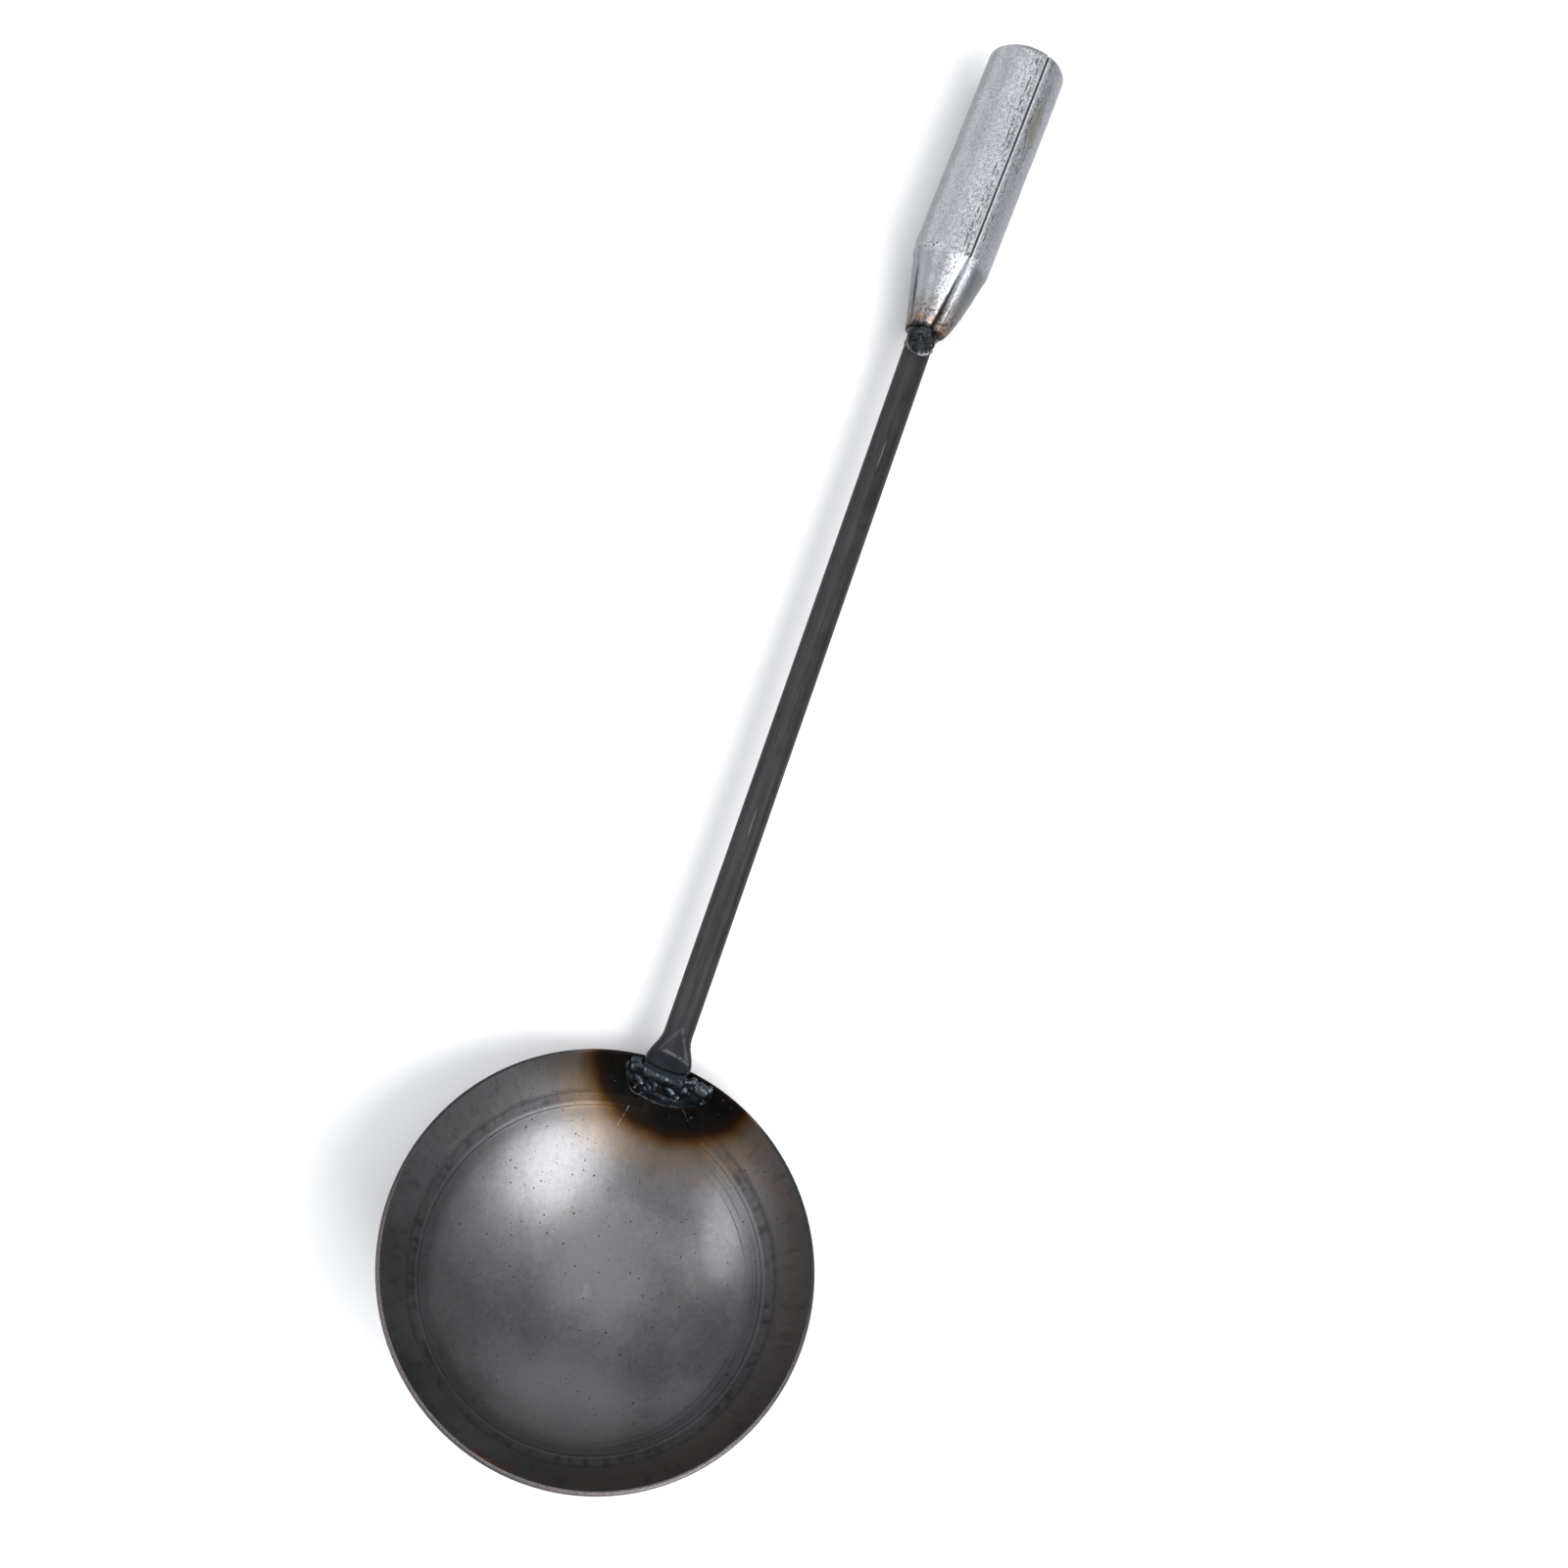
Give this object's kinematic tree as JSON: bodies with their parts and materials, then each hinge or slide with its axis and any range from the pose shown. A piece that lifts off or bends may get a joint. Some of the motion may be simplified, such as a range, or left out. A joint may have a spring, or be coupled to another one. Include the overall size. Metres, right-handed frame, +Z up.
{
  "type": "ladle",
  "caption": "Hand-made steel ladle: round pressed bowl, forged bar welded inside its rim, and a rolled tube grip with a crimped lower end.",
  "frame": {"origin": "middle of the footprint, on the surface the ladle lies on", "axes": "+X from the bowl towards the open end of the grip, +Z up, +Y to the left of the handle seen from the bowl"},
  "size_m": [0.4394, 0.12, 0.0707],
  "materials": {
    "bowl_steel": "dark carbon steel sheet, satin, with heat tint round the weld, small rust specks and a pressed band",
    "bar_steel": "hot-rolled bar with dark matt mill scale, blue-black where it was forged and welded",
    "galvanised_tube": "light blue-grey galvanised sheet, fine mottled grain, scratches and brown stains",
    "weld_metal": "blue-black weld bead with glossy round lumps"
  },
  "bodies": {
    "root": {"bowl": "bowl_steel", "rod": "bar_steel", "grip_tube": "galvanised_tube", "bowl_weld": "weld_metal", "grip_weld": "weld_metal"}
  },
  "joints": []
}
